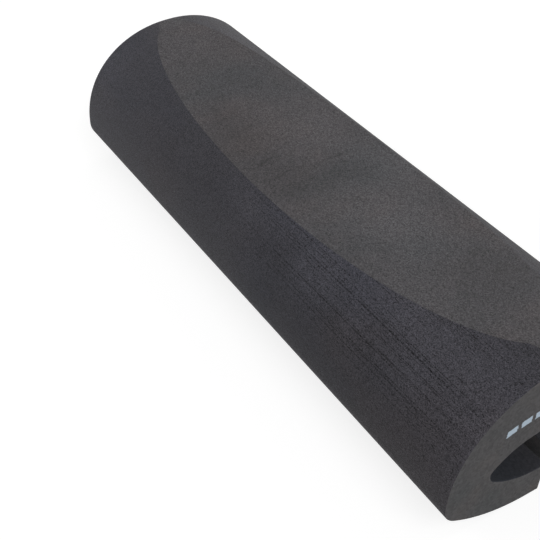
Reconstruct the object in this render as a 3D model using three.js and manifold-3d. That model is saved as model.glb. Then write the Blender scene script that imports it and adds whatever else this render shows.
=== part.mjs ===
import * as THREE from 'three';
import { mergeVertices } from 'three/addons/utils/BufferGeometryUtils.js';
import Module from 'manifold-3d';

// Roof rack pad: one block of soft closed-cell foam that wraps a wing-shaped crossbar.
// Millimetres, +Z up. The base lies on Z = 0, X runs along the bar.
// The end that carries the print faces +X, the slot is in the base.

// Overall block
const padLength = 381;
const padWidth = 130;
const padHeight = 85;

// Outer section
const baseFlatWidth = 24;
const widestHeight = 25;
const flankRadius = 14;
const domeFullness = 2.12;

// Channel for the crossbar
const channelWidth = 80;
const foamBelowChannel = 17.2;
const channelFloorFlat = 16;
const channelFloorRadius = 49.5;
const channelCornerRadius = 6;
const channelWallHeight = 2;
const lobeRise = 11.5;
const lobeRadius = 36;
const humpWidth = 32;
const humpRise = 4.3;
const humpTopRadius = 9;

// Slot that lets the bar in through the base
const slotWidth = 8;
const slotMouthWidth = 11;

// Shallow concave cut along the top: a wide arc, then a short nearly level run to each end.
// Its middle lies a little nearer the plain end.
const topCutDepth = 12.5;
const topCutShift = -3.5;
const topCutRunout = 15;
const topCutShoulder = 0.72;

// Fineness of the curves
const domeSteps = 30;
const topCutSteps = 48;

// Derived places of the outer section
const halfWidth = padWidth / 2;
const halfBase = baseFlatWidth / 2;
const flankRound = Math.min(flankRadius, 0.9 * widestHeight);
const flankCentreY = halfWidth - flankRound;
const undersideRun = flankCentreY - halfBase;
const undersideRadius =
  (undersideRun ** 2 + widestHeight ** 2 - flankRound ** 2) / (2 * (widestHeight - flankRound));

function arcPoints(centreY, centreZ, radius, fromAngle, toAngle, steps) {
  const points = [];
  for (let i = 0; i <= steps; i += 1) {
    const angle = fromAngle + ((toAngle - fromAngle) * i) / steps;
    const y = centreY + radius * Math.cos(angle);
    const z = centreZ + radius * Math.sin(angle);
    points.push(new THREE.Vector2(y, z));
  }
  return points;
}

// Right half of the outside, from the flat base up to the crest.
function outsideHalf() {
  const tangent = Math.atan2(undersideRun, undersideRadius - widestHeight);
  const bottom = -Math.PI / 2;
  const turn = bottom + tangent;
  const underside = arcPoints(halfBase, undersideRadius, undersideRadius, bottom, turn, 8);
  const flank = arcPoints(flankCentreY, widestHeight, flankRound, turn, 0, 12);
  const dome = [];
  const domeRise = padHeight - widestHeight;
  for (let i = 1; i <= domeSteps; i += 1) {
    const angle = (Math.PI / 2) * (i / domeSteps);
    const y = i < domeSteps ? halfWidth * Math.cos(angle) ** (2 / domeFullness) : 0;
    const z = widestHeight + domeRise * Math.sin(angle) ** (2 / domeFullness);
    dome.push(new THREE.Vector2(y, z));
  }
  return [...underside, ...flank.slice(1), ...dome];
}

// Centre of the arc that bulges upwards between two points.
function bulgeCentre(from, to, radius) {
  const chord = to.clone().sub(from);
  const middle = from.clone().add(to).multiplyScalar(0.5);
  const reach = Math.max(radius, 0.5 * chord.length());
  const drop = Math.sqrt(reach ** 2 - (0.5 * chord.length()) ** 2);
  const inward = new THREE.Vector2(-chord.y, chord.x).normalize();
  return { centre: middle.addScaledVector(inward, drop), radius: reach };
}

// Right half of the channel, from the flat of its floor up to the top of the hump.
function channelHalf() {
  const half = channelWidth / 2;
  const halfFlat = channelFloorFlat / 2;
  const cornerY = half - channelCornerRadius;
  const run = cornerY - halfFlat;
  const floorCentreZ = foamBelowChannel + channelFloorRadius;
  const rise = Math.sqrt((channelFloorRadius - channelCornerRadius) ** 2 - run ** 2);
  const cornerZ = floorCentreZ - rise;
  const bottom = -Math.PI / 2;
  const turn = bottom + Math.atan2(run, rise);
  const floor = arcPoints(halfFlat, floorCentreZ, channelFloorRadius, bottom, turn, 8);
  const corner = arcPoints(cornerY, cornerZ, channelCornerRadius, turn, 0, 6);

  const wallTop = new THREE.Vector2(half, cornerZ + channelWallHeight);
  const kink = new THREE.Vector2(humpWidth / 2, wallTop.y + lobeRise);
  const bulge = bulgeCentre(wallTop, kink, lobeRadius);
  const startAngle = wallTop.clone().sub(bulge.centre).angle();
  const endAngle = kink.clone().sub(bulge.centre).angle();
  const lobe = arcPoints(
    bulge.centre.x,
    bulge.centre.y,
    bulge.radius,
    startAngle > Math.PI ? startAngle - 2 * Math.PI : startAngle,
    endAngle,
    12,
  );

  const topCentreZ = kink.y + humpRise - humpTopRadius;
  const toKink = Math.hypot(kink.x, kink.y - topCentreZ);
  const leave = Math.atan2(kink.y - topCentreZ, kink.x) + Math.acos(humpTopRadius / toKink);
  const hump = arcPoints(0, topCentreZ, humpTopRadius, leave, Math.PI / 2, 6);
  return [...floor, ...corner.slice(1), ...lobe, ...hump];
}

function mirrored(points) {
  return points.map((point) => new THREE.Vector2(-point.x, point.y)).reverse();
}

// Closed C-shaped section: around the outside, up the slot, around the channel, down the slot.
function padSection() {
  const lip = slotWidth / 2;
  const mouthLip = slotMouthWidth / 2;
  const outside = outsideHalf();
  const channel = channelHalf();
  const outline = [
    new THREE.Vector2(mouthLip, 0),
    ...outside,
    ...mirrored(outside).slice(1),
    new THREE.Vector2(-mouthLip, 0),
    new THREE.Vector2(-lip, foamBelowChannel),
    ...mirrored(channel).reverse(),
    ...[...channel].reverse().slice(1),
    new THREE.Vector2(lip, foamBelowChannel),
  ];
  return new THREE.Shape(outline);
}

// Solid whose lower face is the concave top cut.
function topCutter() {
  const reach = padLength / 2 - topCutRunout;
  const arcRise = topCutDepth - topCutShoulder;
  const radius = (reach ** 2 + arcRise ** 2) / (2 * arcRise);
  const lowest = padHeight - topCutDepth;
  const past = 10;
  const end = padLength / 2 + past;
  const endHeight = padHeight + (topCutShoulder / topCutRunout) * past;
  const outline = [new THREE.Vector2(-end, endHeight)];
  for (let i = 0; i <= topCutSteps; i += 1) {
    const x = -reach + (2 * reach * i) / topCutSteps;
    outline.push(new THREE.Vector2(x, lowest + radius - Math.sqrt(radius ** 2 - x ** 2)));
  }
  outline.push(new THREE.Vector2(end, endHeight));
  outline.push(new THREE.Vector2(end, endHeight + past));
  outline.push(new THREE.Vector2(-end, endHeight + past));
  const depth = padWidth + 2 * past;
  const cutter = new THREE.ExtrudeGeometry(new THREE.Shape(outline), { depth, bevelEnabled: false });
  cutter.translate(topCutShift, 0, -depth / 2);
  cutter.rotateX(Math.PI / 2);
  return cutter;
}

const wasm = await Module();
wasm.setup();

function toSolid(geometry) {
  const bare = new THREE.BufferGeometry();
  bare.setAttribute('position', geometry.getAttribute('position').clone());
  if (geometry.index) {
    bare.setIndex(geometry.index.clone());
  }
  const welded = mergeVertices(bare, 1e-5);
  const mesh = new wasm.Mesh({
    numProp: 3,
    vertProperties: new Float32Array(welded.getAttribute('position').array),
    triVerts: new Uint32Array(welded.index.array),
  });
  return new wasm.Manifold(mesh);
}

function toGeometry(solid) {
  const mesh = solid.getMesh();
  const geometry = new THREE.BufferGeometry();
  geometry.setAttribute('position', new THREE.BufferAttribute(mesh.vertProperties, 3));
  geometry.setIndex(new THREE.BufferAttribute(mesh.triVerts, 1));
  const faceted = geometry.toNonIndexed();
  faceted.computeVertexNormals();
  return faceted;
}

// The section is drawn in Y and Z, then laid along X.
function padBlock() {
  const block = new THREE.ExtrudeGeometry(padSection(), { depth: padLength, bevelEnabled: false });
  block.translate(0, 0, -padLength / 2);
  block.applyMatrix4(
    new THREE.Matrix4().set(0, 0, 1, 0, 1, 0, 0, 0, 0, 1, 0, 0, 0, 0, 0, 1),
  );
  return block;
}

const padSolid = toSolid(padBlock()).subtract(toSolid(topCutter()));
const foamMaterial = new THREE.MeshStandardMaterial({
  color: new THREE.Color('#47454a'),
  roughness: 0.95,
  metalness: 0,
});
const foamPad = new THREE.Mesh(toGeometry(padSolid), foamMaterial);
foamPad.name = 'foam_pad';

const pad = new THREE.Group();
pad.name = 'roof_rack_pad';
pad.add(foamPad);

export default pad;
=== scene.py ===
import bpy
import math
from mathutils import Matrix, Vector


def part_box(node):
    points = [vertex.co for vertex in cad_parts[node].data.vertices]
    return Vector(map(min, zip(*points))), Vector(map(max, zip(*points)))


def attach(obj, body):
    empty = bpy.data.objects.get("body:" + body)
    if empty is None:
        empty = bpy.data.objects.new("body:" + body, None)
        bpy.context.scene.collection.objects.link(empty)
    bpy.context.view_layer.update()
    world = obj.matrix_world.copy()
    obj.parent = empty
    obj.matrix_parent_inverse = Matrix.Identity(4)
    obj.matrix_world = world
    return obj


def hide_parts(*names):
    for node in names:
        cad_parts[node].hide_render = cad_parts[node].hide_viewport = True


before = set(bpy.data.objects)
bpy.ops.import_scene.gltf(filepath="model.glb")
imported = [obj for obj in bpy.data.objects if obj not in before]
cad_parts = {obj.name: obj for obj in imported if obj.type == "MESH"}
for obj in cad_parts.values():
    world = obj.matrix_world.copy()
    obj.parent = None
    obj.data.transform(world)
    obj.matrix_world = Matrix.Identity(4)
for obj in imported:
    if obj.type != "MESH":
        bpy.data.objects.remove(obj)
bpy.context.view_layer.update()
print("frame loaded")


# the pad's own sizes, in metres, as the solid has them
padShape = {
    "baseFlat": 0.024,
    "widestHeight": 0.025,
    "flankRadius": 0.014,
    "domeFullness": 2.12,
    "channelWidth": 0.080,
    "foamBelowChannel": 0.0172,
    "channelFloorFlat": 0.016,
    "channelFloorRadius": 0.0495,
    "channelCornerRadius": 0.006,
    "channelWallHeight": 0.002,
    "lobeRise": 0.0115,
    "lobeRadius": 0.036,
    "humpWidth": 0.032,
    "humpRise": 0.0043,
    "humpTopRadius": 0.009,
    "slotWidth": 0.008,
    "slotMouthWidth": 0.011,
    "crestHeight": 0.085,
    "topCutDepth": 0.0125,
    "topCutShift": -0.0035,  # the middle of the cut lies nearer the plain end
    "topCutRunout": 0.015,
    "topCutShoulder": 0.00072,
    "cutterPast": 0.01,  # how far the cutting block reaches past the pad
    "edgeSoftness": 0.0004,  # the knife leaves the rims a little round
    "edgeSegments": 3,
    "rimBand": 0.0009,  # the flat strip beside each rounded rim
}

# how finely each curve is drawn
curveSteps = {
    "underside": 14,
    "flank": 14,
    "dome": 54,
    "channelFloor": 14,
    "channelCorner": 8,
    "lobe": 18,
    "humpTop": 8,
    "topCut": 96,
    "stations": 44,  # cuts along the length
}

# what tells the faces and edges of the pad apart, in metres and as parts of a unit normal
limits = {
    "same": 1e-6,  # two heights or lengths this close are the same
    "near": 1e-5,
    "endNormal": 0.999,
    "endArea": 1e-4,
    "facing": 0.9,
    "upward": 0.98,
    "margin": 0.0005,
    "channelMargin": 0.001,
    "channelTop": 0.055,
    "underChannel": 0.012,
}

padLow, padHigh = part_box("foam_pad")
halfLength = (padHigh[0] - padLow[0]) / 2
halfWidth = (padHigh[1] - padLow[1]) / 2
halfSlot = padShape["slotWidth"] / 2
halfMouth = padShape["slotMouthWidth"] / 2
crest = padShape["crestHeight"]
topCutReach = halfLength - padShape["topCutRunout"]
topCutRise = padShape["topCutDepth"] - padShape["topCutShoulder"]
topCutRadius = (topCutReach**2 + topCutRise**2) / (2 * topCutRise)
down = -math.pi / 2


def arcPoints(centreY, centreZ, radius, fromAngle, toAngle, steps):
    angles = [fromAngle + (toAngle - fromAngle) * i / steps for i in range(steps + 1)]
    return [(centreY + radius * math.cos(a), centreZ + radius * math.sin(a)) for a in angles]


def outsideHalf():
    s = padShape
    centreY = halfWidth - s["flankRadius"]
    halfBase = s["baseFlat"] / 2
    run = centreY - halfBase
    rise = s["widestHeight"]
    flank = s["flankRadius"]
    under = (run**2 + rise**2 - flank**2) / (2 * (rise - flank))
    turn = down + math.atan2(run, under - rise)
    points = arcPoints(halfBase, under, under, down, turn, curveSteps["underside"])
    points += arcPoints(centreY, rise, flank, turn, 0, curveSteps["flank"])[1:]
    steps = curveSteps["dome"]
    power = 2 / s["domeFullness"]
    for i in range(1, steps + 1):
        angle = math.pi / 2 * i / steps
        y = halfWidth * math.cos(angle) ** power if i < steps else 0
        points.append((y, rise + (crest - rise) * math.sin(angle) ** power))
    return points


def channelHalf():
    s = padShape
    half = s["channelWidth"] / 2
    flat = s["channelFloorFlat"] / 2
    floorRadius = s["channelFloorRadius"]
    corner = s["channelCornerRadius"]
    cornerY = half - corner
    run = cornerY - flat
    floorCentre = s["foamBelowChannel"] + floorRadius
    rise = math.sqrt((floorRadius - corner) ** 2 - run**2)
    turn = down + math.atan2(run, rise)
    points = arcPoints(flat, floorCentre, floorRadius, down, turn, curveSteps["channelFloor"])
    points += arcPoints(cornerY, floorCentre - rise, corner, turn, 0, curveSteps["channelCorner"])[1:]
    wallTop = Vector((half, floorCentre - rise + s["channelWallHeight"]))
    kink = Vector((s["humpWidth"] / 2, wallTop.y + s["lobeRise"]))
    chord = kink - wallTop
    drop = math.sqrt(s["lobeRadius"] ** 2 - (chord.length / 2) ** 2)
    centre = (wallTop + kink) / 2 + Vector((-chord.y, chord.x)).normalized() * drop
    fromAngle = math.atan2(wallTop.y - centre.y, wallTop.x - centre.x)
    toAngle = math.atan2(kink.y - centre.y, kink.x - centre.x)
    points += arcPoints(centre.x, centre.y, s["lobeRadius"], fromAngle, toAngle, curveSteps["lobe"])
    top = s["humpTopRadius"]
    topCentre = kink.y + s["humpRise"] - top
    toKink = math.hypot(kink.x, kink.y - topCentre)
    leave = math.atan2(kink.y - topCentre, kink.x) + math.acos(top / toKink)
    return points + arcPoints(0, topCentre, top, leave, math.pi / 2, curveSteps["humpTop"])


def flipped(points):
    return [(-y, z) for y, z in points]


# the section runs round the outside, up one slot wall, round the channel and down the other wall
def padSection():
    outside = outsideHalf()
    channel = channelHalf()
    slotTop = padShape["foamBelowChannel"]
    section = [(halfMouth, 0)] + outside + flipped(outside[:-1])[::-1] + [(-halfMouth, 0)]
    section += [(-halfSlot, slotTop)] + flipped(channel)
    return section + channel[:-1][::-1] + [(halfSlot, slotTop)]


def deselectAll():
    for o in bpy.context.selected_objects:
        o.select_set(False)
    bpy.context.view_layer.objects.active = None


def selectWhere(piece, mode, test):
    bpy.ops.object.mode_set(mode="EDIT")
    bpy.ops.mesh.select_mode(type=mode)
    bpy.ops.mesh.select_all(action="DESELECT")
    bpy.ops.object.mode_set(mode="OBJECT")
    mesh = piece.data
    if mode == "FACE":
        for face in mesh.polygons:
            face.select = test(face)
    else:
        for edge in mesh.edges:
            a, b = (mesh.vertices[i].co for i in edge.vertices)
            edge.select = test(a, b)
    bpy.ops.object.mode_set(mode="EDIT")


def editSelectAll():
    bpy.ops.object.mode_set(mode="EDIT")
    bpy.ops.mesh.select_all(action="SELECT")


# a ring is laid on an outline, filled and pulled straight into a block
def pullBlock(name, outline, pull):
    deselectAll()
    bpy.ops.mesh.primitive_circle_add(vertices=len(outline), radius=halfWidth, location=(0, 0, 0))
    block = bpy.context.active_object
    block.name = name
    for vertex, place in zip(block.data.vertices, outline):
        vertex.co = place
    editSelectAll()
    bpy.ops.mesh.edge_face_add()
    bpy.ops.mesh.extrude_region_move(TRANSFORM_OT_translate={"value": pull})
    bpy.ops.mesh.select_all(action="SELECT")
    bpy.ops.mesh.normals_make_consistent(inside=False)
    bpy.ops.object.mode_set(mode="OBJECT")
    return block


def onEnd(co):
    return abs(abs(co.x) - halfLength) < limits["same"]


# the two mouths of the slot and the edges where it meets the channel
def onLip(co):
    away = abs(co.y)
    mouth = abs(co.z) < limits["same"] and abs(away - halfMouth) < limits["near"]
    inner = abs(co.z - padShape["foamBelowChannel"]) < limits["same"]
    return mouth or (inner and abs(away - halfSlot) < limits["near"])


def isEndFace(face):
    return abs(face.normal.x) > limits["endNormal"] and face.area > limits["endArea"]


# onEnd holds at either end, so the lengthwise edges are rounded here too, and where they lie
# closer than twice the softness, in the channel's corners and on its hump, the skin folds back
def softenRims(pad):
    selectWhere(pad, "EDGE", lambda a, b: (onEnd(a) and onEnd(b)) or (onLip(a) and onLip(b)))
    soft, segments = padShape["edgeSoftness"], padShape["edgeSegments"]
    bpy.ops.mesh.bevel(offset=soft, segments=segments, profile=0.5, affect="EDGES")
    selectWhere(pad, "FACE", isEndFace)
    bpy.ops.mesh.inset(thickness=padShape["rimBand"])
    bpy.ops.object.mode_set(mode="OBJECT")


def sliceAlong(pad):
    band = padShape["edgeSoftness"] + padShape["rimBand"]
    inner = halfLength - band
    count = curveSteps["stations"]
    for i in range(count + 1):
        x = -inner + 2 * inner * i / count
        editSelectAll()
        bpy.ops.mesh.bisect(plane_co=(x, 0, 0), plane_no=(1, 0, 0))
    bpy.ops.object.mode_set(mode="OBJECT")


# a wide arc, then a nearly level run to each end
def topCutZ(x):
    away = abs(x - padShape["topCutShift"])
    if away < topCutReach:
        return crest - padShape["topCutDepth"] + topCutRadius - math.sqrt(topCutRadius**2 - away**2)
    slope = padShape["topCutShoulder"] / padShape["topCutRunout"]
    return crest - padShape["topCutShoulder"] + slope * (away - topCutReach)


def cutTop(pad):
    past = padShape["cutterPast"]
    side = halfWidth + past
    end = halfLength + past
    steps = curveSteps["topCut"]
    start = padShape["topCutShift"] - topCutReach
    inner = [start + 2 * topCutReach * i / steps for i in range(steps + 1)]
    outline = [(x, -side, topCutZ(x)) for x in [-end] + inner + [end]]
    outline += [(end, -side, crest + past), (-end, -side, crest + past)]
    tool = pullBlock("topCutTool", outline, (0, 2 * side, 0))
    deselectAll()
    bpy.context.view_layer.objects.active = pad
    pad.select_set(True)
    cut = pad.modifiers.new("topCut", "BOOLEAN")
    cut.operation = "DIFFERENCE"
    cut.solver = "EXACT"
    cut.object = tool
    bpy.ops.object.modifier_apply(modifier=cut.name)
    bpy.data.objects.remove(tool, do_unlink=True)


def onTopCut(face):
    c = face.center
    return face.normal.z > limits["upward"] and abs(c.z - topCutZ(c.x)) < limits["near"]


def inChannel(face):
    c = face.center
    half = padShape["channelWidth"] / 2 + limits["channelMargin"]
    across = abs(c.y) < half and abs(face.normal.x) < limits["facing"]
    inside = across and limits["margin"] < c.z < limits["channelTop"]
    underside = c.z < limits["underChannel"] and abs(c.y) > halfMouth + limits["margin"]
    return inside and not underside


def inSlot(face):
    c = face.center
    between = limits["margin"] < c.z < padShape["foamBelowChannel"] - limits["margin"]
    wall = abs(face.normal.y) > limits["facing"]
    return between and abs(c.y) < halfMouth + limits["margin"] and wall


finishOrder = ["wireCutSide", "topCutFoam", "printedEnd", "plainEnd", "channelFoam", "slotFoam"]


def finishOf(face):
    if onTopCut(face):
        return "topCutFoam"
    if abs(face.normal.x) > limits["facing"]:
        return "printedEnd" if face.center.x > 0 else "plainEnd"
    if inSlot(face):
        return "slotFoam"
    return "channelFoam" if inChannel(face) else "wireCutSide"


def sortFinishes(pad):
    for face in pad.data.polygons:
        face.material_index = finishOrder.index(finishOf(face))


def crispTopCut(pad):
    topCut = finishOrder.index("topCutFoam")
    selectWhere(pad, "FACE", lambda f: f.material_index == topCut)
    bpy.ops.mesh.region_to_loop()
    bpy.ops.mesh.mark_sharp()
    bpy.ops.object.mode_set(mode="OBJECT")


# 1 on the rounded rims, 0 elsewhere, so the finishes can rub the rims lighter
def markRims(pad):
    rim = pad.data.attributes.new("rimWear", "FLOAT", "POINT")
    soft = padShape["edgeSoftness"] + limits["near"]
    for i, vertex in enumerate(pad.data.vertices):
        rim.data[i].value = 1.0 if abs(vertex.co.x) > halfLength - soft else 0.0
    for face in pad.data.polygons:
        if isEndFace(face):
            for i in face.vertices:
                rim.data[i].value = 0.0


section = [(-halfLength, y, z) for y, z in padSection()]
pad = pullBlock("foamPad", section, (2 * halfLength, 0, 0))
softenRims(pad)
sliceAlong(pad)
cutTop(pad)
sortFinishes(pad)
crispTopCut(pad)
markRims(pad)
pad.select_set(True)
bpy.context.view_layer.objects.active = pad
bpy.ops.object.shade_smooth()
even = pad.modifiers.new("evenNormals", "WEIGHTED_NORMAL")
even.keep_sharp = True
bpy.ops.object.modifier_apply(modifier=even.name)
print("foam pad modelled:", len(pad.data.polygons), "faces")


# finishes

def addNode(tree, kind, x, y, **values):
    node = tree.nodes.new(kind)
    node.location = (x, y)
    for name, value in values.items():
        setattr(node, name, value)
    return node


# a socket takes a link or a plain value
def setInput(tree, node, label, value):
    if isinstance(value, bpy.types.NodeSocket):
        tree.links.new(value, node.inputs[label])
    elif value is not None:
        node.inputs[label].default_value = value


def mathNode(tree, operation, a, b, x, y, clamp=False):
    node = addNode(tree, "ShaderNodeMath", x, y, operation=operation, use_clamp=clamp)
    setInput(tree, node, 0, a)
    setInput(tree, node, 1, b)
    return node.outputs[0]


def vectorNode(tree, operation, a, b, x, y):
    node = addNode(tree, "ShaderNodeVectorMath", x, y, operation=operation)
    setInput(tree, node, 0, a)
    setInput(tree, node, "Scale" if operation == "SCALE" else 1, b)
    return node.outputs["Value" if operation == "LENGTH" else "Vector"]


def mixNode(tree, factor, a, b, x, y):
    node = addNode(tree, "ShaderNodeMix", x, y, data_type="RGBA")
    for label, value in (("Factor", factor), ("A", a), ("B", b)):
        setInput(tree, node, label, value)
    return node.outputs["Result"]


# a span gives where the value starts and ends, and what it then becomes
def mapRange(tree, value, span, x, y, curve="SMOOTHSTEP"):
    node = addNode(tree, "ShaderNodeMapRange", x, y, interpolation_type=curve)
    setInput(tree, node, "Value", value)
    for label, bound in zip(("From Min", "From Max", "To Min", "To Max"), span):
        setInput(tree, node, label, bound)
    return node.outputs["Result"]


def splitAxes(tree, source, x, y):
    axes = addNode(tree, "ShaderNodeSeparateXYZ", x, y)
    setInput(tree, axes, 0, source)
    return axes.outputs


def groupNode(tree, group, values, x, y):
    node = addNode(tree, "ShaderNodeGroup", x, y, node_tree=group)
    for label, value in values.items():
        setInput(tree, node, label, value)
    return node


def mappedNoise(tree, source, stretch, scale, detail, roughness, x, y):
    mapping = addNode(tree, "ShaderNodeMapping", x, y)
    setInput(tree, mapping, "Scale", stretch)
    setInput(tree, mapping, "Vector", source)
    noise = addNode(tree, "ShaderNodeTexNoise", x + 180, y)
    setInput(tree, noise, "Vector", mapping.outputs["Vector"])
    setInput(tree, noise, "Scale", scale)
    setInput(tree, noise, "Detail", detail)
    setInput(tree, noise, "Roughness", roughness)
    return noise.outputs


def newGroup(name, inputs, outputs):
    group = bpy.data.node_groups.new(name, "ShaderNodeTree")
    for sockets, way in ((inputs, "INPUT"), (outputs, "OUTPUT")):
        for label, kind in sockets.items():
            group.interface.new_socket(name=label, in_out=way, socket_type="NodeSocket" + kind)
    start = addNode(group, "NodeGroupInput", -900, 0)
    end = addNode(group, "NodeGroupOutput", 900, 0)
    return group, start.outputs, end


evenStretch = (1, 1, 1)
middleTone = 0.5  # the mean of a noise and of a random tone

cellLook = {
    "dip": 0.55,  # how much each cell sinks towards its middle
    "toneShare": 0.6,
    "grainDetail": 3.0,
    "grainRoughness": 0.6,
}


# closed cells of the foam: a light and dark speckle and its height
def foamCellsGroup():
    group, start, end = newGroup(
        "foamCells",
        {"Vector": "Vector", "Cell Scale": "Float"},
        {"Speckle": "Float", "Height": "Float"},
    )
    place, scale = start["Vector"], start["Cell Scale"]
    cells = addNode(group, "ShaderNodeTexVoronoi", -500, 200, feature="F1")
    setInput(group, cells, "Vector", place)
    setInput(group, cells, "Scale", scale)
    detail, roughness = cellLook["grainDetail"], cellLook["grainRoughness"]
    grain = mappedNoise(group, place, evenStretch, scale, detail, roughness, -700, -100)
    dip = mathNode(group, "MULTIPLY", cells.outputs["Distance"], cellLook["dip"], -250, 200)
    swell = mathNode(group, "SUBTRACT", grain["Fac"], middleTone, -250, -100)
    tone = addNode(group, "ShaderNodeSeparateColor", -250, 400)
    setInput(group, tone, "Color", cells.outputs["Color"])
    cellTone = mathNode(group, "SUBTRACT", tone.outputs["Red"], middleTone, 0, 400)
    cellTone = mathNode(group, "MULTIPLY", cellTone, cellLook["toneShare"], 150, 400)
    setInput(group, end, "Speckle", mathNode(group, "ADD", cellTone, swell, 300, 250))
    setInput(group, end, "Height", mathNode(group, "ADD", dip, swell, 0, 100))
    return group


wireLook = {
    "stretch": (0.002, 1, 1),  # long along the pad, fine across it
    "lineEdge": (0.61, 0.69, 0, 1),  # where the noise becomes a line
    "patchStretch": (0.3, 1, 1),
    "patchScale": 70.0,
    "patchDetail": 2.0,
    "patchLevel": 0.62,  # less the coverage, this is where the patches with lines begin
    "patchContrast": 4.0,
    "comeIn": (-0.02, 0.07),  # places along the pad
    "growUp": (0.035, 0.062, 0.35, 1),  # heights: the lines are weaker low on the side
    "endOff": (0.15, 0.19, 1, 0.5),  # places along the pad: weaker near the printed end
    "roughness": 0.5,
}


# fine lines that the hot wire leaves along the pad, more of them towards the printed end
def wireLinesGroup():
    group, start, end = newGroup(
        "wireLines",
        {"Vector": "Vector", "Line Scale": "Float", "Coverage": "Float", "Fade": "Float"},
        {"Mask": "Float"},
    )
    w = wireLook
    place, scale, rough = start["Vector"], start["Line Scale"], w["roughness"]
    fine = mappedNoise(group, place, w["stretch"], scale, 0.0, rough, -700, 200)
    patch = mappedNoise(
        group, place, w["patchStretch"], w["patchScale"], w["patchDetail"], rough, -700, -200
    )
    threshold = mathNode(group, "SUBTRACT", w["patchLevel"], start["Coverage"], -300, -50)
    mask = mapRange(group, fine["Fac"], w["lineEdge"], -300, 200, "LINEAR")
    where = mathNode(group, "SUBTRACT", patch["Fac"], threshold, -100, -150)
    where = mathNode(group, "MULTIPLY", where, w["patchContrast"], 50, -150, clamp=True)
    axes = splitAxes(group, place, -700, -500)
    left = mathNode(group, "SUBTRACT", 1.0, start["Fade"], -500, -350)
    along = mapRange(group, axes["X"], w["comeIn"] + (left, 1), -500, -500)
    upper = mapRange(group, axes["Z"], w["growUp"], -500, -800)
    ending = mapRange(group, axes["X"], w["endOff"], -500, -1100)
    for i, part in enumerate((where, along, upper, ending)):
        mask = mathNode(group, "MULTIPLY", mask, part, 200 + 150 * i, 100)
    setInput(group, end, "Mask", mask)
    return group


patchLook = {
    "warmEdge": (0.46, 0.68, 0, 1),
    "warmDetail": 3.0,
    "warmRoughness": 0.55,
    "coolEdge": (0.50, 0.72, 0, 1),
    "coolDetail": 2.0,
    "coolRoughness": 0.5,
    "aside": (0.37, 0.21, 0.13),  # the cool noise is read this far away from the warm one
}


# soft patches where the foam is a little warmer, cooler, lighter or darker
def foamPatchesGroup():
    group, start, end = newGroup(
        "foamPatches",
        {
            "Vector": "Vector", "Patch Scale": "Float", "Stretch": "Vector",
            "Base": "Color", "Warm": "Color", "Cool": "Color",
        },
        {"Color": "Color", "Shade": "Float"},
    )
    p = patchLook
    place, stretch, scale = start["Vector"], start["Stretch"], start["Patch Scale"]
    aside = vectorNode(group, "ADD", place, p["aside"], -850, -350)
    broad = mappedNoise(
        group, place, stretch, scale, p["warmDetail"], p["warmRoughness"], -700, 200
    )
    other = mappedNoise(
        group, aside, stretch, scale, p["coolDetail"], p["coolRoughness"], -700, -200
    )
    warmth = mapRange(group, broad["Fac"], p["warmEdge"], -300, 200, "LINEAR")
    coolness = mapRange(group, other["Fac"], p["coolEdge"], -300, -100, "LINEAR")
    colour = mixNode(group, warmth, start["Base"], start["Warm"], 0, 200)
    colour = mixNode(group, coolness, colour, start["Cool"], 250, 100)
    shade = mathNode(group, "SUBTRACT", broad["Fac"], other["Fac"], 0, -250)
    setInput(group, end, "Color", colour)
    setInput(group, end, "Shade", shade)
    return group


# one soft spot, which carries tone and painted light and shade: 1 at its middle, 0 past its reach
def softSpotGroup():
    group, start, end = newGroup(
        "softSpot", {"Vector": "Vector", "Middle": "Vector", "Reach": "Vector"}, {"Mask": "Float"}
    )
    offset = vectorNode(group, "SUBTRACT", start["Vector"], start["Middle"], -500, 0)
    scaled = vectorNode(group, "DIVIDE", offset, start["Reach"], -300, 0)
    away = vectorNode(group, "LENGTH", scaled, None, -100, 0)
    setInput(group, end, "Mask", mapRange(group, away, (0, 1, 1, 0), 150, 0))
    return group


creaseLook = {
    "wanderScale": 70.0,
    "wanderDetail": 2.0,
    "wanderRoughness": 0.5,
    "swing": 0.012,  # metres that the line strays for the whole range of the noise
}


# a faint crease across the pad, where it has been bent: 1 along its line, which wanders a little
def bendCreaseGroup():
    group, start, end = newGroup(
        "bendCrease",
        {
            "Vector": "Vector", "Place": "Float", "Lean": "Float",
            "Middle": "Float", "Reach": "Float", "Width": "Float",
        },
        {"Mask": "Float"},
    )
    c = creaseLook
    wander = mappedNoise(
        group, start["Vector"], evenStretch, c["wanderScale"],
        c["wanderDetail"], c["wanderRoughness"], -700, 300,
    )
    axes = splitAxes(group, start["Vector"], -700, -100)
    swing = mathNode(group, "SUBTRACT", wander["Fac"], middleTone, -400, 300)
    swing = mathNode(group, "MULTIPLY", swing, c["swing"], -250, 300)
    lean = mathNode(group, "MULTIPLY", axes["Y"], start["Lean"], -500, 100)
    line = mathNode(group, "ADD", start["Place"], lean, -350, 100)
    line = mathNode(group, "ADD", line, swing, -100, 150)
    beside = mathNode(group, "SUBTRACT", axes["X"], line, 50, 150)
    along = mathNode(group, "SUBTRACT", axes["Y"], start["Middle"], -350, -200)
    masks = []
    for distance, reach, y in ((beside, "Width", 150), (along, "Reach", -200)):
        away = mathNode(group, "ABSOLUTE", distance, None, 200, y)
        masks.append(mapRange(group, away, (0, start[reach], 1, 0), 350, y))
    setInput(group, end, "Mask", mathNode(group, "MULTIPLY", masks[0], masks[1], 600, 0))
    return group


foamCells = foamCellsGroup()
wireLines = wireLinesGroup()
foamPatches = foamPatchesGroup()
softSpot = softSpotGroup()
bendCrease = bendCreaseGroup()


def linear(level):
    part = level / 255
    return part / 12.92 if part <= 0.04045 else ((part + 0.055) / 1.055) ** 2.4


# a colour as a picture shows it, from 0 to 255
def srgb(r, g, b):
    return (linear(r), linear(g), linear(b), 1)
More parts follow.
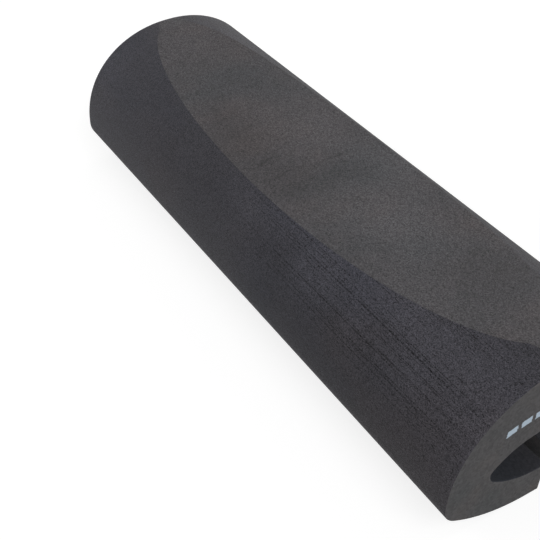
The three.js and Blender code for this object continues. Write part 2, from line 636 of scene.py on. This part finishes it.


# each spot has its middle, its reach and how much lighter or darker it is
topToneSpotsAndPaintedShade = [
    ((-0.045, -0.026, 0.075), (0.085, 0.034, 0.05), -0.25),
    # painted shade along the bend creases
    ((0.004, -0.008, 0.072), (0.024, 0.052, 0.05), -0.12),
    ((0.120, 0.014, 0.077), (0.036, 0.026, 0.05), -0.13),
    ((-0.040, 0.026, 0.073), (0.055, 0.024, 0.05), 0.15),
    ((0.062, 0.000, 0.073), (0.055, 0.040, 0.05), 0.26),
    ((0.020, 0.032, 0.072), (0.045, 0.024, 0.05), 0.20),
    ((0.115, -0.027, 0.078), (0.045, 0.018, 0.05), 0.12),
    ((-0.165, 0.000, 0.082), (0.045, 0.030, 0.05), 0.08),
]
# painted light and shade on the flanks: lighter high up and at the far rims, darker low down and at
# mid-height
sidePaintedLightAndShade = [
    # painted shade at mid-height towards the plain end
    ((-0.070, -0.055, 0.050), (0.090, 0.035, 0.030), -0.12),
    # painted highlight at the plain end
    ((-0.185, -0.050, 0.065), (0.045, 0.040, 0.035), 0.24),
    # painted light high on the flank near the printed end
    ((0.130, -0.040, 0.073), (0.170, 0.035, 0.030), 0.44),
    # painted light high on the flank in the middle
    ((0.040, -0.046, 0.069), (0.090, 0.030, 0.024), 0.22),
    # painted shadow low on the flank near the printed end
    ((0.095, -0.064, 0.030), (0.180, 0.035, 0.030), -0.20),
    # painted highlight along the top of the +Y flank towards the plain end
    ((-0.140, 0.035, 0.078), (0.100, 0.035, 0.020), 0.25),
]
spotRuffle = {"scale": 28.0, "detail": 3.0, "roughness": 0.55, "stray": 0.05}

# faint bend creases across the middle of the top cut, each dented into the bump and darkened with
# painted shade
creasePaintedShade = 0.24
topCreases = [
    {"Place": -0.0255, "Lean": -0.08, "Middle": -0.028, "Reach": 0.024, "Width": 0.0015},
    {"Place": -0.0118, "Lean": -0.195, "Middle": -0.023, "Reach": 0.024, "Width": 0.0016},
    {"Place": -0.0068, "Lean": -0.05, "Middle": 0.010, "Reach": 0.020, "Width": 0.0022},
]

cutEnd = {
    "base": srgb(85, 84, 85), "warm": srgb(88, 84, 83), "cool": srgb(81, 83, 84),
    "patchScale": 30.0, "stretch": evenStretch, "mottle": 0.25,
    "cellScale": 700.0, "speckle": 0.48, "cellBump": 0.3,
    "rim": 0.08, "roughness": 0.96, "sheen": 0.06,
}
finishLooks = {
    "wireCutSide": {
        "base": srgb(63.5, 62.5, 68), "warm": srgb(65, 62, 66), "cool": srgb(59, 59.5, 67),
        # this side's spots are painted light and shade
        "patchScale": 14.0, "stretch": (0.6, 1, 1), "mottle": 0.35, "toneAndPaintedLightSpots": sidePaintedLightAndShade,
        "cellScale": 2500.0, "speckle": 2.15, "cellBump": 0.6,
        "lines": {"scale": 2000.0, "coverage": 0.72, "fade": 0.85, "dark": 0.50, "bump": 0.3},
        "rim": 0.1, "roughness": 0.95, "sheen": 0.13,
    },
    "topCutFoam": {
        "base": srgb(82, 79.5, 82), "warm": srgb(85, 80, 81), "cool": srgb(78, 78, 81),
        "patchScale": 16.0, "stretch": (1.3, 0.7, 1), "mottle": 0.25, "toneAndPaintedLightSpots": topToneSpotsAndPaintedShade,
        "cellScale": 1800.0, "speckle": 1.6, "cellBump": 0.7, "creases": topCreases,
        "rim": 0.1, "roughness": 0.97, "sheen": 0.12,
    },
    "printedEnd": cutEnd,
    "plainEnd": cutEnd,
    # the channel's foam has a darker base than the flanks: painted shade for the deep channel
    "channelFoam": {
        "base": srgb(56, 57, 62), "warm": srgb(57, 57, 61), "cool": srgb(52, 55, 61),
        "patchScale": 16.0, "stretch": (0.6, 1, 1), "mottle": 0.2,
        "cellScale": 950.0, "speckle": 0.5, "cellBump": 0.35,
        "lines": {"scale": 700.0, "coverage": 0.2, "fade": 0.3, "dark": 0.25, "bump": 0.3},
        "rim": 0.08, "roughness": 0.95, "sheen": 0.05,
    },
    # the slot walls have a lighter base than the channel: partly painted light reaching into the
    # slot, partly the lighter tone of a knife-cut face
    "slotFoam": {
        "base": srgb(76, 75, 77), "warm": srgb(78, 75, 76), "cool": srgb(72, 74, 76),
        "patchScale": 30.0, "stretch": (0.6, 1, 1), "mottle": 0.2,
        "cellScale": 950.0, "speckle": 0.5, "cellBump": 0.3,
        "rim": 0.08, "roughness": 0.95, "sheen": 0.05,
    },
}
foamSurface = {
    "bumpStrength": 0.5,
    "bumpDistance": 0.0006,
    "sheenRoughness": 0.5,
    "specular": 0.12,
}

printMark = {
    "height": 0.0605,  # middle of the stripe over the pad's middle
    "drop": 0.0042,  # how far its ends hang below that
    "halfSpan": 0.036,
    "dash": 0.0062,
    "pitch": 0.0080,
    "thickness": 0.0042,
    "pores": 0.0006,  # how far the foam's cells nibble at its edges
    "crispness": 3000.0,
    "ink": srgb(188, 204, 218),
}


# a plain dashed stripe that follows the channel's roof; 1 where the ink lies
def printMask(tree, place, speckle):
    mark = printMark
    axes = splitAxes(tree, place, -1200, -700)
    across = axes["Y"]
    square = mathNode(tree, "MULTIPLY", across, across, -1000, -700)
    sag = mathNode(tree, "MULTIPLY", square, mark["drop"] / mark["halfSpan"] ** 2, -850, -700)
    level = mathNode(tree, "ADD", axes["Z"], sag, -700, -700)
    off = mathNode(tree, "SUBTRACT", level, mark["height"], -550, -700)
    off = mathNode(tree, "ABSOLUTE", off, None, -400, -700)
    inside = mathNode(tree, "SUBTRACT", mark["thickness"] / 2, off, -250, -700)
    step = mathNode(tree, "DIVIDE", across, mark["pitch"], -850, -900)
    nearest = mathNode(tree, "ROUND", step, None, -700, -900)
    beside = mathNode(tree, "SUBTRACT", step, nearest, -550, -900)
    beside = mathNode(tree, "ABSOLUTE", beside, None, -400, -900)
    beside = mathNode(tree, "MULTIPLY", beside, mark["pitch"], -250, -900)
    within = mathNode(tree, "SUBTRACT", mark["dash"] / 2, beside, -100, -900)
    far = mathNode(tree, "ABSOLUTE", across, None, -850, -1100)
    span = mathNode(tree, "SUBTRACT", mark["halfSpan"], far, -700, -1100)
    mask = mathNode(tree, "MINIMUM", inside, within, 50, -750)
    mask = mathNode(tree, "MINIMUM", mask, span, 200, -750)
    pores = mathNode(tree, "MULTIPLY", speckle, mark["pores"], 200, -950)
    mask = mathNode(tree, "ADD", mask, pores, 350, -750)
    return mathNode(tree, "MULTIPLY", mask, mark["crispness"], 500, -750, clamp=True)


# the spots share one slightly ruffled set of coordinates, so their outlines aren't smooth ovals
def toneAndPaintedLightLevels(tree, place, toneAndPaintedLightSpots):
    if not toneAndPaintedLightSpots:
        return []
    r = spotRuffle
    ruffle = mappedNoise(
        tree, place, evenStretch, r["scale"], r["detail"], r["roughness"], -1400, 800
    )
    centred = vectorNode(tree, "SUBTRACT", ruffle["Color"], (middleTone,) * 3, -1050, 800)
    spread = vectorNode(tree, "SCALE", centred, r["stray"], -900, 800)
    moved = vectorNode(tree, "ADD", place, spread, -750, 800)
    shades = []
    for i, (middle, reach, shade) in enumerate(toneAndPaintedLightSpots):
        y = 1000 - 180 * i
        values = {"Vector": moved, "Middle": middle, "Reach": reach}
        spot = groupNode(tree, softSpot, values, -550, y)
        shades.append(mathNode(tree, "MULTIPLY", spot.outputs["Mask"], shade, -350, y))
    return shades


def creaseDentsAndPaintedShade(tree, place, creases):
    masks = []
    for i, crease in enumerate(creases):
        y = -650 - 220 * i
        bend = groupNode(tree, bendCrease, {"Vector": place, **crease}, -1100, y)
        # the crease's painted shade, which also dents the bump
        masks.append(mathNode(tree, "MULTIPLY", bend.outputs["Mask"], -creasePaintedShade, -900, y))
    return masks


def foamFinish(name):
    look = finishLooks[name]
    material = bpy.data.materials.new(name)
    material.use_nodes = True
    tree = material.node_tree
    tree.nodes.clear()
    place = addNode(tree, "ShaderNodeTexCoord", -1500, 0).outputs["Object"]
    tints = {
        "Vector": place, "Patch Scale": look["patchScale"], "Stretch": look["stretch"],
        "Base": look["base"], "Warm": look["warm"], "Cool": look["cool"],
    }
    patches = groupNode(tree, foamPatches, tints, -1100, 300).outputs
    grain = {"Vector": place, "Cell Scale": look["cellScale"]}
    cells = groupNode(tree, foamCells, grain, -1100, 0).outputs
    rim = addNode(tree, "ShaderNodeAttribute", -1100, -450, attribute_name="rimWear")

    tone = mathNode(tree, "MULTIPLY", cells["Speckle"], look["speckle"], -800, 0)
    height = mathNode(tree, "MULTIPLY", cells["Height"], look["cellBump"], -600, -500)
    wire = look.get("lines")
    if wire:
        drawn = {
            "Vector": place, "Line Scale": wire["scale"],
            "Coverage": wire["coverage"], "Fade": wire["fade"],
        }
        lines = groupNode(tree, wireLines, drawn, -1100, -250).outputs["Mask"]
        darker = mathNode(tree, "MULTIPLY", lines, -wire["dark"], -800, -200)
        tone = mathNode(tree, "ADD", tone, darker, -600, -100)
        groove = mathNode(tree, "MULTIPLY", lines, -wire["bump"], -600, -650)
        height = mathNode(tree, "ADD", height, groove, -400, -550)
    lighter = mathNode(tree, "MULTIPLY", rim.outputs["Fac"], look["rim"], -800, -400)
    tone = mathNode(tree, "ADD", tone, lighter, -450, -200)
    tone = mathNode(tree, "ADD", tone, 1.0, -300, -200)

    broad = mathNode(tree, "MULTIPLY", patches["Shade"], look["mottle"], -800, 150)
    broad = mathNode(tree, "ADD", broad, 1.0, -600, 150)
    # spots lighten or darken the colour: tone patches, and painted light and shade
    for spot in toneAndPaintedLightLevels(tree, place, look.get("toneAndPaintedLightSpots")):
        broad = mathNode(tree, "ADD", broad, spot, -400, 150)
    # each crease darkens the colour with painted shade and dents the bump
    for crease in creaseDentsAndPaintedShade(tree, place, look.get("creases", [])):
        broad = mathNode(tree, "ADD", broad, crease, -300, 150)
        height = mathNode(tree, "ADD", height, crease, -250, -550)
    tone = mathNode(tree, "MULTIPLY", tone, broad, -200, -100)
    colour = vectorNode(tree, "SCALE", patches["Color"], tone, -100, 200)
    if name == "printedEnd":
        mask = printMask(tree, place, cells["Speckle"])
        colour = mixNode(tree, mask, colour, printMark["ink"], 150, 200)

    bump = addNode(tree, "ShaderNodeBump", 150, -400)
    setInput(tree, bump, "Strength", foamSurface["bumpStrength"])
    setInput(tree, bump, "Distance", foamSurface["bumpDistance"])
    setInput(tree, bump, "Height", height)

    shader = addNode(tree, "ShaderNodeBsdfPrincipled", 500, 100)
    setInput(tree, shader, "Roughness", look["roughness"])
    setInput(tree, shader, "Sheen Weight", look["sheen"])
    setInput(tree, shader, "Sheen Roughness", foamSurface["sheenRoughness"])
    setInput(tree, shader, "Specular IOR Level", foamSurface["specular"])
    setInput(tree, shader, "Base Color", colour)
    setInput(tree, shader, "Normal", bump.outputs["Normal"])
    output = addNode(tree, "ShaderNodeOutputMaterial", 850, 100)
    setInput(tree, output, "Surface", shader.outputs["BSDF"])
    return material


for finish in finishOrder:
    pad.data.materials.append(foamFinish(finish))
print("finishes made:", len(finishOrder))

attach(pad, "root")
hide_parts("foam_pad")


# studio

studio = {
    "floorSize": 12,
    "floorDrop": 0.0002,  # the floor lies this far under the pad's base
    "floorColour": (0.4, 0.4, 0.4, 1),
    "floorLift": 0.76,
    "worldLight": 0.2,
}


# 1 for what the camera sees itself, or in a shiny or clear surface
def seenDirectly(tree, x, y):
    rays = addNode(tree, "ShaderNodeLightPath", x, y).outputs
    seen = rays["Is Camera Ray"]
    for i, ray in enumerate(("Is Glossy Ray", "Is Transmission Ray")):
        seen = mathNode(tree, "ADD", seen, rays[ray], x + 200 + 80 * i, y, clamp=True)
    return seen


def whiteFloor():
    deselectAll()
    place = (0, 0, -studio["floorDrop"])
    bpy.ops.mesh.primitive_plane_add(size=studio["floorSize"], location=place)
    floor = bpy.context.active_object
    floor.name = "studioFloor"
    material = bpy.data.materials.new("studioFloorPaint")
    material.use_nodes = True
    tree = material.node_tree
    tree.nodes.clear()
    paint = addNode(tree, "ShaderNodeBsdfDiffuse", -300, 100)
    setInput(tree, paint, "Color", studio["floorColour"])
    glow = addNode(tree, "ShaderNodeEmission", -300, -100)
    direct = seenDirectly(tree, -800, 0)
    lift = mathNode(tree, "MULTIPLY", direct, studio["floorLift"], -450, -100)
    setInput(tree, glow, "Strength", lift)
    both = addNode(tree, "ShaderNodeAddShader", -50, 0)
    setInput(tree, both, 0, paint.outputs[0])
    setInput(tree, both, 1, glow.outputs[0])
    output = addNode(tree, "ShaderNodeOutputMaterial", 150, 0)
    setInput(tree, output, "Surface", both.outputs[0])
    floor.data.materials.append(material)


def whiteWorld():
    world = bpy.data.worlds.new("studioWorld")
    bpy.context.scene.world = world
    world.use_nodes = True
    tree = world.node_tree
    tree.nodes.clear()
    ground = addNode(tree, "ShaderNodeBackground", -200, 0)
    setInput(tree, ground, "Color", (1, 1, 1, 1))
    direct = seenDirectly(tree, -800, 0)
    rest = mathNode(tree, "MULTIPLY", direct, 1 - studio["worldLight"], -450, 0)
    level = mathNode(tree, "ADD", rest, studio["worldLight"], -320, 0)
    setInput(tree, ground, "Strength", level)
    output = addNode(tree, "ShaderNodeOutputWorld", 0, 0)
    setInput(tree, output, "Surface", ground.outputs[0])


plainWhite = (1, 1, 1)
faintWarm = (1, 0.95, 0.88)
lampAim = (0, 0, 0.04)
lamps = {
    "nearHighLamp": {"place": (2.0, 0.0, 2.0), "size": 1.5, "power": 22.0, "colour": plainWhite},
    "nearSideLamp": {"place": (1.6, -0.8, 0.9), "size": 0.8, "power": 10.0, "colour": plainWhite},
    "farLeftLamp": {"place": (-1.5, -0.8, 0.6), "size": 0.8, "power": 6.0, "colour": plainWhite},
    "closeFarLamp": {"place": (-0.6, -0.45, 0.4), "size": 0.5, "power": 1.1, "colour": plainWhite},
    "closeRightLamp": {"place": (0.1, 0.55, 0.5), "size": 0.5, "power": 0.9, "colour": plainWhite},
    "backRightLamp": {"place": (-0.7, 1.5, 0.12), "size": 0.5, "power": 11.0, "colour": faintWarm},
}


def addLamps():
    for name, lamp in lamps.items():
        light = bpy.data.lights.new(name, "AREA")
        light.shape = "SQUARE"
        light.size = lamp["size"]
        light.energy = lamp["power"]
        light.color = lamp["colour"]
        holder = bpy.data.objects.new(name, light)
        bpy.context.scene.collection.objects.link(holder)
        aim = Vector(lampAim) - Vector(lamp["place"])
        turn = aim.to_track_quat("-Z", "Y").to_matrix().to_4x4()
        holder.matrix_world = Matrix.Translation(lamp["place"]) @ turn


photoCamera = {
    "place": (0.379208, -0.265438, 0.387554),
    "right": (0.52522, 0.850852, -0.013957),
    "up": (-0.54204, 0.347148, 0.765298),
    "back": (0.656001, -0.394384, 0.643525),
    "lens": 66.552,
    "sensor": 36,
    "clipStart": 0.01,
}


def addCamera():
    data = bpy.data.cameras.new("photoCamera")
    data.sensor_width = photoCamera["sensor"]
    data.lens = photoCamera["lens"]
    data.clip_start = photoCamera["clipStart"]
    camera = bpy.data.objects.new("photoCamera", data)
    bpy.context.scene.collection.objects.link(camera)
    turn = Matrix([photoCamera["right"], photoCamera["up"], photoCamera["back"]]).transposed()
    camera.matrix_world = Matrix.Translation(photoCamera["place"]) @ turn.to_4x4()
    bpy.context.scene.camera = camera


whiteFloor()
whiteWorld()
addLamps()
addCamera()
bpy.context.scene.view_settings.view_transform = "Standard"
print("studio ready")
